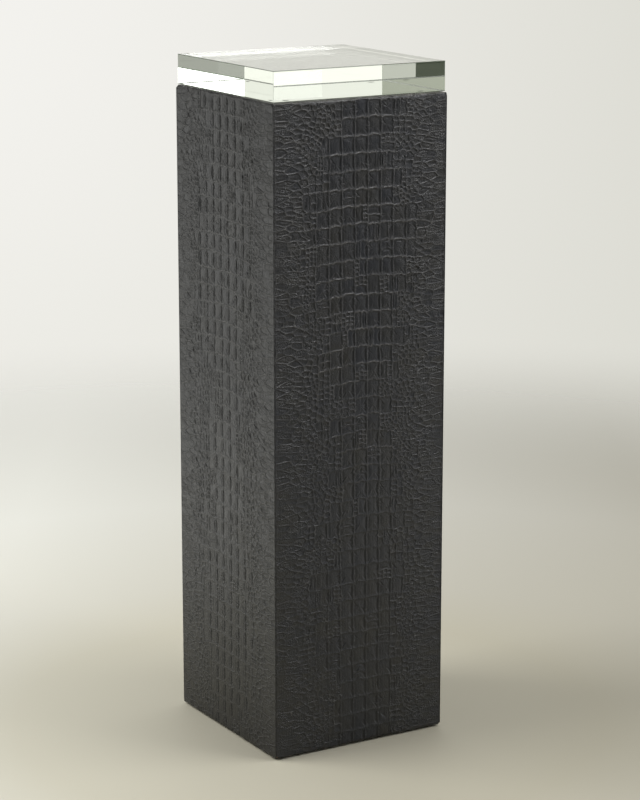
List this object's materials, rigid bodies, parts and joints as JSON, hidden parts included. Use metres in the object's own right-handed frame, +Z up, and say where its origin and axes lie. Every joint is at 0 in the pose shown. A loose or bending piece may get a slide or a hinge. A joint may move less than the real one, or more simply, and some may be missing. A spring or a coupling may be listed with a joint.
{
  "type": "display plinth",
  "caption": "Tall square plinth wrapped in black scale-embossed hide, with a thick clear glass slab on top to carry a displayed piece.",
  "frame": {"origin": "centre of the square footprint, on the floor under the glides", "axes": "+Z up towards the display surface, front hide facing -Y, +X to the right seen from the front"},
  "size_m": [0.3048, 0.3048, 1.0668],
  "materials": {
    "clear_glass": "polished, clear with a faint green cast in the thickness",
    "clear_silicone": "clear, soft, satin",
    "embossed_hide": "satin waxed black, embossed with reptile scales",
    "fibreboard": "raw medium density fibreboard",
    "painted_board": "matt black paint on fibreboard",
    "softwood": "planed pine",
    "plywood": "raw birch plywood",
    "zinc_steel": "zinc plated",
    "black_nylon": "moulded, matt"
  },
  "bodies": {
    "plinth": {"base_board": "painted_board", "base_board_screws": "zinc_steel", "clear_bumpers": "clear_silicone", "corner_post_back_left": "softwood", "corner_post_back_right": "softwood", "corner_post_front_left": "softwood", "corner_post_front_right": "softwood", "deck_hide": "embossed_hide", "diaphragm_lower": "fibreboard", "diaphragm_upper": "fibreboard", "glide_back_left": "black_nylon", "glide_back_right": "black_nylon", "glide_front_left": "black_nylon", "glide_front_right": "black_nylon", "glide_nails": "zinc_steel", "hide_back": "embossed_hide", "hide_front": "embossed_hide", "hide_left": "embossed_hide", "hide_right": "embossed_hide", "mitre_spline_back_left": "plywood", "mitre_spline_back_right": "plywood", "mitre_spline_front_left": "plywood", "mitre_spline_front_right": "plywood", "panel_back": "fibreboard", "panel_front": "fibreboard", "panel_left": "fibreboard", "panel_right": "fibreboard", "top_board": "fibreboard", "top_board_screws": "zinc_steel"},
    "slab": {"glass_slab": "clear_glass"}
  },
  "joints": [
    {"name": "slab_lift", "type": "slide", "parent": "plinth", "child": "slab", "axis": [0, 0, 1], "range_m": [0, 0.1]}
  ]
}
